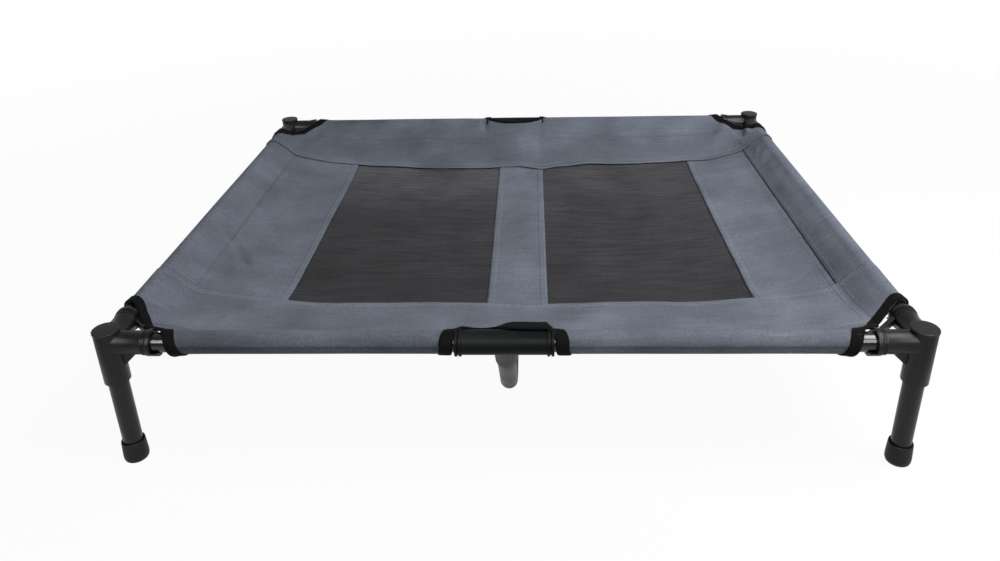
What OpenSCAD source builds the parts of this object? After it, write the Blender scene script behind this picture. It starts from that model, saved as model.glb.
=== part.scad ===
// Raised dog cot: a push-fit frame of steel tube and moulded corner fittings,
// with a sewn canvas and mesh mat hung on the rails by pockets along its edges.
// Millimetres. Origin on the floor at the middle of the cot, +X right, +Y to the rear, +Z up.

/* [Frame] */
// Distance between the post axes, left to right
post_span_x = 883; // [640:1:1200]
// Distance between the post axes, front to rear
post_span_y = 730; // [640:1:1000]
// Height of the rail axes above the floor
rail_z = 160.5; // [140:0.5:240]
// Outer diameter of the steel tube
tube_od = 22; // [19:0.5:25]
// Wall of the steel tube
tube_wall = 1; // [0.8:0.1:2]
// Radial clearance of a tube in its socket
fit_gap = 0.1; // [0.05:0.01:0.2]
// Clearance between a tube end and the face it stops at
seat_gap = 0.2; // [0.1:0.1:0.6]

/* [Corner fitting] */
// Wall of the two rail sockets
socket_wall = 2.15; // [1.8:0.05:3]
// Length of a rail socket from the post axis
socket_len = 51; // [45:1:70]
// Step of the flange and rings above the socket
flange_step = 1.75; // [1:0.25:3]
// Width of the flange at the socket's mouth
flange_w = 5; // [3:0.5:8]
// Width of each raised ring behind the flange
ring_w = 1.6; // [1:0.1:2.5]
// Length of the lip under the socket's mouth
lip_l = 7; // [4:0.5:9]
// Clearance of that lip under the rail
lip_gap = 0.9; // [0.5:0.1:1.5]
// Wall of the upright post
post_wall = 3.15; // [2.5:0.05:5]
// Rise of the post above the rail sockets
post_rise = 0.5; // [0:0.25:4]
// Depth of the leg socket below the rail sockets
leg_socket = 37; // [28:1:60]
// Wall between two neighbouring bores
seat_wall = 2; // [1.5:0.25:4]
// Chamfer round the mouth of the leg socket
mouth_chamfer = 1.5; // [0.5:0.25:2]
// Reach of the webs under the rail sockets, past the post
web_reach = 15; // [8:1:24]
// Thickness of the webs under the rail sockets
web_t = 5; // [3:0.5:8]
// Distance of the corner strut from the post axis, along each socket
strut_reach = 43; // [38:1:44]
// Width of the corner strut
strut_w = 5; // [3:0.5:7]
// Height of the corner strut
strut_h = 8; // [4:0.5:12]

/* [Post cap] */
// Thickness of the cap's disc
cap_t = 3.75; // [2.5:0.25:6]
// Lip of the cap over the post
cap_lip = 0.6; // [0.3:0.05:1.5]
// Rounding of the cap's upper edge
cap_round = 1.2; // [0.4:0.2:2]
// Diameter of the cap's plug
cap_plug_d = 18; // [12:0.5:20]
// Length of the cap's plug
cap_plug_l = 9; // [5:0.5:10]

/* [Foot] */
// Wall of the rubber foot
foot_wall = 2.4; // [1.6:0.1:4]
// Height of the rubber foot
foot_h = 27; // [18:0.5:40]
// Floor of the rubber foot under the leg
foot_floor = 5; // [3:0.5:10]
// Bead round the foot's upper rim
foot_bead = 0.8; // [0.4:0.1:1.5]
// Height of the bead
foot_bead_h = 3; // [2:0.5:5]
// Rounding of the foot's lower edge
foot_round = 3; // [1:0.5:4]

/* [Coupler and centre bar] */
// Length of a coupler
coupler_l = 108; // [80:1:140]
// Wall of a coupler
coupler_wall = 2.65; // [2:0.05:4]
// Width of each of the two rings at a coupler's ends
coupler_ring_w = 3; // [2:0.5:4]
// Groove between those two rings
coupler_groove = 1.5; // [1:0.5:3]
// Web inside a coupler that both rails stop at
coupler_stop = 2; // [1:0.5:4]
// Offset of the couplers from the middle, to the right
coupler_shift = -3; // [-10:1:10]
// Length of a coupler's branch from the rail axis
branch_len = 64; // [45:1:90]
// Wall of a coupler's branch
branch_wall = 1.6; // [1.2:0.1:3]
// Slope of the centre bar's arms below the horizontal, in degrees
bar_angle = 50; // [42:1:62]
// Radius of the centre bar's bends
bend_r = 50; // [36:1:70]
// Clearance of the centre bar above the floor
bar_floor_gap = 2; // [1:0.5:8]

/* [Mat] */
// Thickness of the canvas
canvas_t = 1; // [0.8:0.1:1.4]
// Thickness of the mesh
mesh_t = 0.8; // [0.6:0.1:1.2]
// Clearance between layers of cloth, and between cloth and tube
cloth_gap = 0.3; // [0.2:0.05:0.5]
// Distance of the pocket seam from the rail axis, inwards
hem_in = 37; // [32:1:50]
// Drop of the pocket seam below the rail axis
hem_drop = 18.5; // [10:0.5:24]
// Sag of the mat's middle below the pocket seams
sag = 30; // [10:1:45]
// Rise of the mat's seam line behind each coupler
edge_lift = 6; // [0:1:12]
// Half width of that rise
edge_lift_w = 28; // [20:1:40]
// Depth of that rise into the mat
edge_lift_d = 30; // [20:1:50]
// Width of each mesh window
window_w = 258; // [150:1:290]
// Length of each mesh window
window_l = 457; // [250:1:480]
// Width of the canvas strip between the windows
strip_w = 78; // [50:1:120]
// Shift of the windows to the right
mat_shift_x = 8.5; // [-15:0.5:15]
// Shift of the windows to the rear
mat_shift_y = 11.5; // [-15:0.5:15]
// Lap of the mesh under the canvas
mesh_lap = 12; // [6:1:16]
// Distance of the corner cut from the post axis, along each rail
corner_cut = 68; // [64:1:72]
// Gap between a coupler and the pocket beside it
pocket_gap = 8; // [4:1:16]
// Distance of the mat's free edge behind each coupler from the rail axis, inwards
flap_in = 9; // [7:0.5:11]

/* [Binding tape] */
// Width of the tape's visible face
tape_w = 11; // [8:0.5:14]
// Thickness of the tape
tape_t = 0.8; // [0.6:0.1:1.2]
// How far the tape's cut edge recedes round a tube, per millimetre
tape_rake = 0.45; // [0.2:0.05:0.8]

/* [Hidden] */
$fn = 48;

plastic = [0.11, 0.11, 0.115];
steel = [0.16, 0.16, 0.17];
rubber = [0.09, 0.09, 0.09];
canvas = [0.36, 0.39, 0.44];
mesh = [0.22, 0.22, 0.24];
tape = [0.07, 0.07, 0.08];

// Overlap of solids that are one piece, and overrun of cuts
eps = 1;

bore_r = tube_od / 2 + fit_gap;
socket_r = bore_r + socket_wall;
post_r = bore_r + post_wall;
post_top = rail_z + socket_r + post_rise;
post_low = rail_z - socket_r - leg_socket;
leg_seat_z = rail_z - socket_r - seat_wall;
rail_seat = post_r + seat_wall;
half_x = post_span_x / 2;
half_y = post_span_y / 2;

coupler_r = bore_r + coupler_wall;
branch_r = bore_r + branch_wall;
bar_seat = coupler_r + seat_wall;
bar_low_z = bar_floor_gap + tube_od / 2;
bar_drop = rail_z - bar_low_z;
bend_tangent = bend_r * tan(bar_angle / 2);
bar_arm = bar_drop / sin(bar_angle) - bend_tangent;
bend_in = bar_drop / tan(bar_angle) + bend_tangent;
bead_l = 6;
bead_step = 0.15;

// Pocket section: a drop shape round the tube, pointing to the seam
pocket_r = tube_od / 2 + cloth_gap + canvas_t;
seam_reach = norm([hem_in, hem_drop]);
seam_tilt = -atan2(hem_drop, hem_in);
wrap_angle = seam_tilt + acos(pocket_r / seam_reach);
slope_len = sqrt(pow(seam_reach, 2) - pow(pocket_r, 2));
crown_len = pocket_r * (90 - wrap_angle) * PI / 180;

hem_x = half_x - hem_in;
hem_y = half_y - hem_in;
hem_z = rail_z - hem_drop;
pocket_end = coupler_l / 2 + pocket_gap;
flap_half = pocket_end - 1 - 2 * cloth_gap;
flap_top = coupler_r + flange_step;
// Cell of the cloth's facets: fine across the bands, which rise behind the couplers
band_cell = 16;
canvas_cell = 24;
mesh_cell = 32;

window_y0 = mat_shift_y - window_l / 2;
window_y1 = mat_shift_y + window_l / 2;
window_x0 = mat_shift_x - strip_w / 2 - window_w;
window_x1 = mat_shift_x + strip_w / 2 + window_w;
strip_x0 = mat_shift_x - strip_w / 2;
strip_x1 = mat_shift_x + strip_w / 2;

// Corner fittings and what stands on them. Each corner is a turn of the front left one,
// whose own +X and +Y run inwards along its two rails. A rail socket is drawn along Z,
// with its under side at +X.

module at_corner(turn) {
    sx = (turn == 0 || turn == 270) ? -1 : 1;
    sy = (turn == 0 || turn == 90) ? -1 : 1;
    translate([sx * half_x, sy * half_y, 0]) rotate([0, 0, turn]) children();
}

module rail_socket() {
    ring_gap = ring_w * 0.6;
    cylinder(r = socket_r, h = socket_len);
    translate([0, 0, socket_len - flange_w]) cylinder(r = socket_r + flange_step, h = flange_w);
    for (k = [1, 2])
        translate([0, 0, socket_len - flange_w - k * (ring_w + ring_gap)])
            cylinder(r = socket_r + flange_step / 2, h = ring_w);
    translate([0, 0, socket_len - flange_w]) intersection() {
        difference() {
            cylinder(r = socket_r + flange_step, h = flange_w + lip_l);
            translate([0, 0, flange_w]) cylinder(r = bore_r + lip_gap, h = lip_l + eps);
        }
        translate([socket_r / 2, -2 * socket_r, -eps])
            cube([2 * socket_r, 4 * socket_r, flange_w + lip_l + 2 * eps]);
    }
}

module socket_web() {
    foot_z = rail_z - socket_r;
    rotate([90, 0, 0]) translate([0, 0, -web_t / 2]) linear_extrude(web_t)
        polygon([[post_r - eps, foot_z + eps], [post_r + web_reach, foot_z + eps],
            [post_r + web_reach, foot_z - eps / 2], [post_r, foot_z - web_reach],
            [post_r - eps, foot_z - web_reach]]);
}

module corner_strut() {
    inset = socket_r - eps;
    half_w = strut_w / sqrt(2);
    translate([0, 0, rail_z - strut_h / 2]) linear_extrude(strut_h)
        polygon([[inset, strut_reach - half_w], [inset, strut_reach + half_w],
            [strut_reach + half_w, inset], [strut_reach - half_w, inset]]);
}

module corner_joint(turn) {
    color(plastic) at_corner(turn) difference() {
        union() {
            translate([0, 0, post_low + mouth_chamfer])
                cylinder(r = post_r, h = post_top - post_low - mouth_chamfer);
            translate([0, 0, post_low])
                cylinder(r1 = post_r - mouth_chamfer, r2 = post_r, h = mouth_chamfer);
            translate([0, 0, rail_z]) rotate([0, 90, 0]) rail_socket();
            translate([0, 0, rail_z]) rotate([0, 0, 90]) rotate([0, 90, 0]) rail_socket();
            socket_web();
            rotate([0, 0, 90]) socket_web();
            corner_strut();
        }
        translate([rail_seat, 0, rail_z]) rotate([0, 90, 0])
            cylinder(r = bore_r, h = socket_len);
        translate([0, rail_seat, rail_z]) rotate([-90, 0, 0])
            cylinder(r = bore_r, h = socket_len);
        translate([0, 0, post_low - eps]) cylinder(r = bore_r, h = leg_seat_z - post_low + eps);
        translate([0, 0, post_top - cap_plug_l - seat_gap])
            cylinder(d = cap_plug_d + 2 * fit_gap, h = cap_plug_l + seat_gap + eps);
    }
}

module post_cap(turn) {
    cap_r = post_r + cap_lip;
    color(plastic) at_corner(turn) translate([0, 0, post_top]) rotate_extrude() {
        square([cap_r, cap_t - cap_round]);
        square([cap_r - cap_round, cap_t]);
        intersection() {
            translate([cap_r - cap_round, cap_t - cap_round]) circle(r = cap_round);
            square([cap_r, cap_t]);
        }
        translate([0, -cap_plug_l]) square([cap_plug_d / 2, cap_plug_l + eps]);
    }
}

module leg(turn) {
    low = foot_floor + seat_gap;
    color(steel) at_corner(turn) translate([0, 0, low]) difference() {
        cylinder(d = tube_od, h = leg_seat_z - seat_gap - low);
        translate([0, 0, -eps]) cylinder(d = tube_od - 2 * tube_wall, h = leg_seat_z);
    }
}

module foot(turn) {
    foot_r = bore_r + foot_wall;
    color(rubber) at_corner(turn) rotate_extrude() difference() {
        union() {
            translate([0, foot_round]) square([foot_r, foot_h - foot_round]);
            square([foot_r - foot_round, foot_h]);
            intersection() {
                translate([foot_r - foot_round, foot_round]) circle(r = foot_round);
                square([foot_r, foot_h]);
            }
            translate([0, foot_h - foot_bead_h]) square([foot_r + foot_bead, foot_bead_h]);
        }
        translate([0, foot_floor]) square([bore_r, foot_h]);
    }
}

// Rails: plain tubes from seat to seat

module tube(length) {
    difference() {
        cylinder(d = tube_od, h = length);
        translate([0, 0, -eps]) cylinder(d = tube_od - 2 * tube_wall, h = length + 2 * eps);
    }
}

module rail_long(side, front) {
    stop = coupler_shift + side * (coupler_stop / 2 + seat_gap);
    outer = side * (half_x - rail_seat - seat_gap);
    color(steel) translate([min(stop, outer), front ? -half_y : half_y, rail_z])
        rotate([0, 90, 0]) tube(abs(outer - stop));
}

module rail_side(side) {
    length = post_span_y - 2 * (rail_seat + seat_gap);
    color(steel) translate([side * half_x, -length / 2, rail_z]) rotate([-90, 0, 0]) tube(length);
}

// Couplers, built for the front rail: the branch slopes inwards and down to the centre bar

module coupler_end_rings() {
    for (k = [0, 1])
        translate([0, 0, coupler_l / 2 - coupler_ring_w - k * (coupler_ring_w + coupler_groove)])
            cylinder(r = coupler_r + flange_step, h = coupler_ring_w);
}

module along_arm(from) {
    rotate([-(90 + bar_angle), 0, 0]) translate([0, 0, from]) children();
}

module at_rail_middle(front) {
    rotate([0, 0, front ? 0 : 180])
        translate([front ? coupler_shift : -coupler_shift, -half_y, rail_z]) children();
}

module coupler(front) {
    bore_l = coupler_l / 2 - coupler_stop / 2;
    color(plastic) at_rail_middle(front) difference() {
        union() {
            translate([-coupler_l / 2, 0, 0]) rotate([0, 90, 0])
                cylinder(r = coupler_r, h = coupler_l);
            for (turn = [90, -90]) rotate([0, turn, 0]) coupler_end_rings();
            along_arm(0) cylinder(r = branch_r, h = branch_len);
        }
        for (turn = [90, -90])
            rotate([0, turn, 0]) translate([0, 0, coupler_stop / 2])
                cylinder(r = bore_r, h = bore_l + eps);
        along_arm(bar_seat) cylinder(r = bore_r, h = branch_len);
    }
}

// Centre bar: one bent tube, from branch to branch, that runs just above the floor

module bar_bend(r) {
    translate([0, bend_in, bend_r - bar_drop]) rotate([90, 0, 90])
        rotate([0, 0, -90 - bar_angle]) rotate_extrude(angle = bar_angle)
            translate([bend_r, 0]) circle(r = r);
}

// Slight bead that the bending tool leaves where a bend meets a straight length
module bend_bead(r) {
    translate([0, 0, -bead_l / 2]) cylinder(r = r + bead_step, h = bead_l);
}

module bar_solid(r, overrun) {
    run = post_span_y - 2 * bend_in - bead_l / 3;
    arm_start = bar_seat + seat_gap - overrun;
    for (front = [true, false])
        at_rail_middle(front) {
            along_arm(arm_start) cylinder(r = r, h = bar_arm - arm_start - bead_l / 6);
            along_arm(bar_arm) bend_bead(r);
            bar_bend(r);
            translate([0, bend_in, -bar_drop]) rotate([-90, 0, 0]) bend_bead(r);
        }
    translate([coupler_shift, -run / 2, bar_low_z]) rotate([-90, 0, 0]) cylinder(r = r, h = run);
}

module centre_support_bar() {
    color(steel) difference() {
        bar_solid(tube_od / 2, 0);
        bar_solid(tube_od / 2 - tube_wall, eps);
    }
}

// Mat surface: it hangs from the pocket seams, sags to a flat middle, and rises a little
// behind the couplers

function hang(t) = 1 - pow(t, 4);
function bell(t) = exp(-t * t / 2);
function deck_z(x, y) = hem_z - sag * hang(x / hem_x) * hang(y / hem_y)
    + edge_lift * bell((x - coupler_shift) / edge_lift_w)
        * (bell((y + hem_y) / edge_lift_d) + bell((y - hem_y) / edge_lift_d));

function mix(a, b, k) = a + (b - a) * k;

function stations(a, b, cell) = let (n = ceil((b - a) / cell)) [for (k = [0:n]) mix(a, b, k / n)];

// One closed sheet from rows of points, from front to rear, that lie in the middle of the cloth
module cloth_shell(grid, thick) {
    nx = len(grid[0]) - 1;
    ny = len(grid) - 1;
    row = nx + 1;
    layer = row * (ny + 1);
    points = [for (face = [0.5, -0.5], line = grid, p = line) p + [0, 0, face * thick]];
    upper = [for (j = [0:ny - 1], i = [0:nx - 1]) let (k = j * row + i)
        each [[k, k + row, k + row + 1], [k, k + row + 1, k + 1]]];
    lower = [for (f = upper) [f[2] + layer, f[1] + layer, f[0] + layer]];
    rim = concat([for (i = [0:nx - 1]) [i, i + 1]],
        [for (j = [0:ny - 1]) [j * row + nx, (j + 1) * row + nx]],
        [for (i = [nx:-1:1]) [ny * row + i, ny * row + i - 1]],
        [for (j = [ny:-1:1]) [j * row, (j - 1) * row]]);
    wall = [for (e = rim) each [[e[0], e[1], e[1] + layer], [e[0], e[1] + layer, e[0] + layer]]];
    polyhedron(points, concat(upper, lower, wall));
}

module cloth_panel(x0, x1, y0, y1, rise, thick, cell_x, cell_y) {
    cloth_shell([for (y = stations(y0, y1, cell_y))
        [for (x = stations(x0, x1, cell_x)) [x, y, deck_z(x, y) + rise]]], thick);
}

// Bands, built for the front: behind the coupler a flap runs on from the seam to the free edge
flap_rows = 3;

function flap_z(x, b) = mix(deck_z(x, -hem_y), rail_z + flap_top, (hem_in - b) / (hem_in - flap_in));
function band_edge_b(x, j) = abs(x - coupler_shift) > flap_half + cloth_gap
    ? hem_in + cloth_gap + j
    : j < flap_rows
        ? mix(flap_in, hem_in, j / (flap_rows - 1))
        : hem_in + cloth_gap + j;
function band_point(x, j, rows, y_in) =
    let (knee = hem_in + cloth_gap + flap_rows - half_y,
        b = band_edge_b(x, min(j, flap_rows)),
        y = j > flap_rows ? mix(knee, y_in, (j - flap_rows) / rows) : b - half_y)
        [x, y, y < -hem_y ? flap_z(x, b) : deck_z(x, y)];

module band(y_in) {
    rows = ceil((y_in + hem_y) / canvas_cell);
    columns = concat(
        stations(-hem_x + cloth_gap, coupler_shift - flap_half - 1, band_cell),
        stations(coupler_shift - flap_half, coupler_shift + flap_half, band_cell),
        stations(coupler_shift + flap_half + 1, hem_x - cloth_gap, band_cell));
    color(canvas) cloth_shell([for (j = [0:flap_rows + rows])
        [for (x = columns) band_point(x, j, rows, y_in)]], canvas_t);
}

module front_band() {
    band(window_y0);
}

module rear_band() {
    mirror([0, 1, 0]) band(-window_y1);
}

module canvas_strip(x0, x1) {
    color(canvas) cloth_panel(x0, x1, window_y0 + cloth_gap, window_y1 - cloth_gap,
        0, canvas_t, canvas_cell, canvas_cell);
}

module mesh_panel(x0, x1) {
    under = -(canvas_t + mesh_t) / 2 - cloth_gap;
    color(mesh) cloth_panel(x0 - mesh_lap, x1 + mesh_lap,
        window_y0 - mesh_lap, window_y1 + mesh_lap, under, mesh_t, mesh_cell, mesh_cell);
}

// Edge pockets: the drop-shaped loop of canvas that each rail passes through

module drop(r) {
    reach = seam_reach * r / pocket_r;
    spread = acos(r / reach);
    round_steps = 44;
    polygon(concat([reach * [cos(seam_tilt), sin(seam_tilt)]],
        [for (k = [0:round_steps])
            let (turn = mix(seam_tilt + spread, seam_tilt - spread + 360, k / round_steps))
                r * [cos(turn), sin(turn)]]));
}

module pocket_section() {
    difference() {
        drop(pocket_r);
        drop(pocket_r - canvas_t);
    }
}

// Plan of a pocket, with its length along X from a post and its depth inwards along Y.
// The end at a post is cut on the slant.
module pocket_plan(length, both_cut) {
    out = pocket_r + eps;
    inner = hem_in + eps;
    near = hem_in + cloth_gap;
    polygon(concat(
        [[corner_cut + out, -out], [near, corner_cut - near], [near, inner]],
        both_cut
            ? [[length - near, inner], [length - near, corner_cut - near],
                [length - corner_cut - out, -out]]
            : [[length, inner], [length, -out]]));
}

module pocket(length, both_cut) {
    intersection() {
        rotate([90, 0, 90]) linear_extrude(length) pocket_section();
        translate([0, 0, -seam_reach]) linear_extrude(2 * seam_reach)
            pocket_plan(length, both_cut);
    }
}

module pocket_long(left, front) {
    length = half_x + (left ? coupler_shift : -coupler_shift) - pocket_end;
    color(canvas) rotate([0, 0, front ? 0 : 180]) mirror([left == front ? 0 : 1, 0, 0])
        translate([-half_x, -half_y, rail_z]) pocket(length, false);
}

module pocket_side(left) {
    color(canvas) rotate([0, 0, left ? -90 : 90])
        translate([-half_y, -half_x, rail_z]) pocket(post_span_y, true);
}

// Binding tape: it follows the pocket's section, counted along the cloth from the crown of the
// tube. Below zero it goes round the outside of the tube, and past the slope it lies on the mat.

function section(s, rise) =
    s < crown_len
        ? let (turn = 90 - s / pocket_r * 180 / PI) (pocket_r + rise) * [cos(turn), sin(turn)]
        : s < crown_len + slope_len
            ? (pocket_r + rise) * [cos(wrap_angle), sin(wrap_angle)]
                + (s - crown_len) * [sin(wrap_angle), -cos(wrap_angle)]
            : [hem_in + s - crown_len - slope_len, -hem_drop + canvas_t / 2 + rise];

// Rings of a tape: four corners each, lower and upper at its cut edge and its inner edge
tape_low = cloth_gap;
tape_high = cloth_gap + tape_t;
tape_start = -pocket_r * PI;
tape_steps = 26;

module tape_sweep(rings) {
    n = len(rings);
    points = [for (r = rings) each r];
    sides = [for (i = [0:n - 2], k = [0:3])
        let (a = i * 4 + k, b = i * 4 + (k + 1) % 4)
            each [[a, b, b + 4], [a, b + 4, a + 4]]];
    last = (n - 1) * 4;
    caps = [[0, 2, 1], [0, 3, 2], [last, last + 1, last + 2], [last, last + 2, last + 3]];
    polyhedron(points, concat(sides, caps));
}

function tape_ring(cut, inner, off = 0) = [
    let (p = section(cut[1], tape_low + off)) [cut[0], p[0], p[1]],
    let (p = section(cut[1], tape_high + off)) [cut[0], p[0], p[1]],
    let (p = section(inner[1], tape_high + off)) [inner[0], p[0], p[1]],
    let (p = section(inner[1], tape_low + off)) [inner[0], p[0], p[1]]];

function swapped(ring) = [for (p = ring) [p[1], p[0], p[2]]];
function reversed(list) = [for (i = [len(list) - 1:-1:0]) list[i]];

module corner_tape(turn) {
    // The cut meets the mitre of the two pockets where its distances from both rails are equal
    mitre = corner_cut / 2;
    mitre_s = crown_len + (mitre - pocket_r * cos(wrap_angle)) / sin(wrap_angle);
    slant = (corner_cut - mitre) / mitre_s;
    across = tape_w / sqrt(2);
    near = [for (k = [0:tape_steps - 1])
        let (s = mix(tape_start, mitre_s - across / 2, k / (tape_steps - 1)),
            rake = s < 0 ? tape_rake : slant,
            a = corner_cut - rake * s)
            tape_ring([a, s], [a + tape_w * norm([1, rake]), s])];
    middle = tape_ring([mitre, mitre_s],
        [mitre + across, crown_len + slope_len + mitre + across - hem_in]);
    color(tape) at_corner(turn) translate([0, 0, rail_z])
        tape_sweep(concat(near, [middle], reversed([for (r = near) swapped(r)])));
}

module coupler_tape(front) {
    edge = pocket_end;
    edge_steps = 12;
    rise = canvas_t / 2 + 2 * cloth_gap;
    reach = flap_half + cloth_gap;
    // Near the crown the tape leaves the pocket, to step up onto the flap
    turn_up = 4 * cloth_gap;
    turn_len = pocket_r / 2;
    tape_b = flap_in + tape_w / norm([1, (flap_top + hem_drop) / (hem_in - flap_in)]);
    side = [for (k = [0:tape_steps - 1])
        let (s = mix(tape_start, 0, k / (tape_steps - 1)))
            tape_ring([-edge, s], [-edge - tape_w, s], turn_up * max(0, 1 + s / turn_len))];
    free = [for (x = [for (k = [0:edge_steps]) mix(-reach, reach, k / edge_steps)])
        let (cut_z = flap_top + rise,
            inner_z = flap_z((front ? x : -x) + coupler_shift, tape_b) - rail_z + rise)
            [[x, flap_in, cut_z], [x, flap_in, cut_z + tape_t],
                [x, tape_b, inner_z + tape_t], [x, tape_b, inner_z]]];
    far = reversed([for (r = side) [for (p = r) [-p[0], p[1], p[2]]]]);
    color(tape) at_rail_middle(front) tape_sweep(concat(side, free, far));
}

corner_joint(0);  // corner_joint_front_left
corner_joint(90);  // corner_joint_front_right
corner_joint(270);  // corner_joint_rear_left
corner_joint(180);  // corner_joint_rear_right
post_cap(0);  // post_cap_front_left
post_cap(90);  // post_cap_front_right
post_cap(270);  // post_cap_rear_left
post_cap(180);  // post_cap_rear_right
leg(0);  // leg_front_left
leg(90);  // leg_front_right
leg(270);  // leg_rear_left
leg(180);  // leg_rear_right
foot(0);  // foot_front_left
foot(90);  // foot_front_right
foot(270);  // foot_rear_left
foot(180);  // foot_rear_right
rail_long(-1, true);  // rail_front_left
rail_long(1, true);  // rail_front_right
rail_long(-1, false);  // rail_rear_left
rail_long(1, false);  // rail_rear_right
rail_side(-1);  // rail_side_left
rail_side(1);  // rail_side_right
coupler(true);  // coupler_front
coupler(false);  // coupler_rear
centre_support_bar();
front_band();
rear_band();
canvas_strip(-hem_x + cloth_gap, window_x0);  // side_band_left
canvas_strip(window_x1, hem_x - cloth_gap);  // side_band_right
canvas_strip(strip_x0, strip_x1);  // centre_strip
mesh_panel(window_x0, strip_x0);  // mesh_panel_left
mesh_panel(strip_x1, window_x1);  // mesh_panel_right
pocket_long(true, true);  // pocket_front_left
pocket_long(false, true);  // pocket_front_right
pocket_long(true, false);  // pocket_rear_left
pocket_long(false, false);  // pocket_rear_right
pocket_side(true);  // pocket_side_left
pocket_side(false);  // pocket_side_right
corner_tape(0);  // corner_tape_front_left
corner_tape(90);  // corner_tape_front_right
corner_tape(270);  // corner_tape_rear_left
corner_tape(180);  // corner_tape_rear_right
coupler_tape(true);  // coupler_tape_front
coupler_tape(false);  // coupler_tape_rear
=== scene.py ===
import math

import bmesh
import bpy
from mathutils import Matrix, Vector, noise


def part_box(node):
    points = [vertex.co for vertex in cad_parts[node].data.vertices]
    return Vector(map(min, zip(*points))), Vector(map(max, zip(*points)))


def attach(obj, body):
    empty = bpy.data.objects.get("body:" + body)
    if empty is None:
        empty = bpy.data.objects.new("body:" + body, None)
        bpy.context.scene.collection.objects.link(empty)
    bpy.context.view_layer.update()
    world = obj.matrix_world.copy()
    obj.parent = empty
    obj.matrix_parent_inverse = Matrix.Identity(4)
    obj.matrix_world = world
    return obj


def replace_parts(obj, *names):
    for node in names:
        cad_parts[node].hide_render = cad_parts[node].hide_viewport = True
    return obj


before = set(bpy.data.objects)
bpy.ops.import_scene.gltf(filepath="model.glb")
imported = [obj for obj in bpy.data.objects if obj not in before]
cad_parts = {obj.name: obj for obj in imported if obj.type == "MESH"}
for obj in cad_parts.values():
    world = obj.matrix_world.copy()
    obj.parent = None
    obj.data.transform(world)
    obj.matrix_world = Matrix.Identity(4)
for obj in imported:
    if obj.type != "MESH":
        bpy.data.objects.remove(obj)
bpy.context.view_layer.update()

# Corner fittings: one black moulded piece at each corner, with two rail sockets and a leg socket
# on an upright post. The mould leaves every outer edge slightly round and the skin finely grained.

fitting_edge = 0.0005
fitting_black = (0.0048, 0.0052, 0.0054, 1)


def feed(tree, socket, value):
    if isinstance(value, bpy.types.NodeSocket):
        tree.links.new(value, socket)
    else:
        socket.default_value = value


def place(tree, kind, sockets=None, **settings):
    made = tree.nodes.new(kind)
    for key, value in settings.items():
        setattr(made, key, value)
    for key, value in (sockets or {}).items():
        feed(tree, made.inputs[key], value)
    return made


def calc(tree, operation, first, second=0.0):
    return place(tree, "ShaderNodeMath", {0: first, 1: second}, operation=operation).outputs[0]


def remap(tree, value, low, high, to_low, to_high):
    sockets = {"Value": value, "From Min": low, "From Max": high, "To Min": to_low, "To Max": to_high}
    return place(tree, "ShaderNodeMapRange", sockets).outputs["Result"]


def speckle(tree, where, scale, detail):
    sockets = {"Vector": where, "Scale": scale, "Detail": detail}
    return place(tree, "ShaderNodeTexNoise", sockets).outputs["Fac"]


def mix_colours(tree, first, second, share=1.0, blend_type="MIX"):
    mixer = place(tree, "ShaderNodeMix", {"Factor": share}, data_type="RGBA", blend_type=blend_type)
    colours = {socket.name: socket for socket in mixer.inputs if socket.type == "RGBA"}
    feed(tree, colours["A"], first)
    feed(tree, colours["B"], second)
    return next(socket for socket in mixer.outputs if socket.type == "RGBA")


def tint(tree, colour, amount):
    return mix_colours(tree, colour, amount, blend_type="MULTIPLY")


def effect(name, inputs, outputs):
    group = bpy.data.node_groups.new(name, "ShaderNodeTree")
    for label, value in inputs.items():
        socket = group.interface.new_socket(label, in_out="INPUT", socket_type="NodeSocketFloat")
        socket.default_value = value
    for label in outputs:
        group.interface.new_socket(label, in_out="OUTPUT", socket_type="NodeSocketFloat")
    start = group.nodes.new("NodeGroupInput")
    end = group.nodes.new("NodeGroupOutput")
    return group, start.outputs, end.inputs


def use_effect(tree, group, **values):
    made = place(tree, "ShaderNodeGroup", node_tree=group)
    for key, value in values.items():
        made.inputs[key.replace("_", " ").capitalize()].default_value = value
    return made.outputs


def finish(name, **constants):
    material = bpy.data.materials.new(name)
    material.use_nodes = True
    shader = material.node_tree.nodes["Principled BSDF"]
    for key, value in constants.items():
        shader.inputs[key.replace("_", " ").title().replace("Ior", "IOR")].default_value = value
    return material, material.node_tree, shader


def put_out(group, sockets, parts):
    for label, value in parts.items():
        group.links.new(value, sockets[label])


def bump(tree, shader, height, distance):
    made = place(tree, "ShaderNodeBump", {"Height": height, "Distance": distance, "Strength": 1.0})
    tree.links.new(made.outputs["Normal"], shader.inputs["Normal"])


# Most values of a noise texture lie between these two
noise_span = (0.3, 0.7)

# Moulded skin: a fine grain, cloudy patches of gloss, and a little pale dust
dust_grey = (0.09, 0.09, 0.09, 1)
most_dust = 0.14
moulded_skin, skin_in, skin_out = effect(
    "moulded skin", {"Grain size": 0.0009, "Patch size": 0.03}, ["Grain", "Patch", "Dust"]
)
skin_place = place(moulded_skin, "ShaderNodeTexCoord").outputs["Object"]
grain_scale = calc(moulded_skin, "DIVIDE", 1.0, skin_in["Grain size"])
patch_scale = calc(moulded_skin, "DIVIDE", 1.0, skin_in["Patch size"])
skin_dust = speckle(moulded_skin, skin_place, 420.0, 3.0)
put_out(moulded_skin, skin_out, {
    "Grain": speckle(moulded_skin, skin_place, grain_scale, 2.0),
    "Patch": speckle(moulded_skin, skin_place, patch_scale, 4.0),
    "Dust": remap(moulded_skin, skin_dust, 0.62, 0.80, 0.0, 1.0),
})


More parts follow.
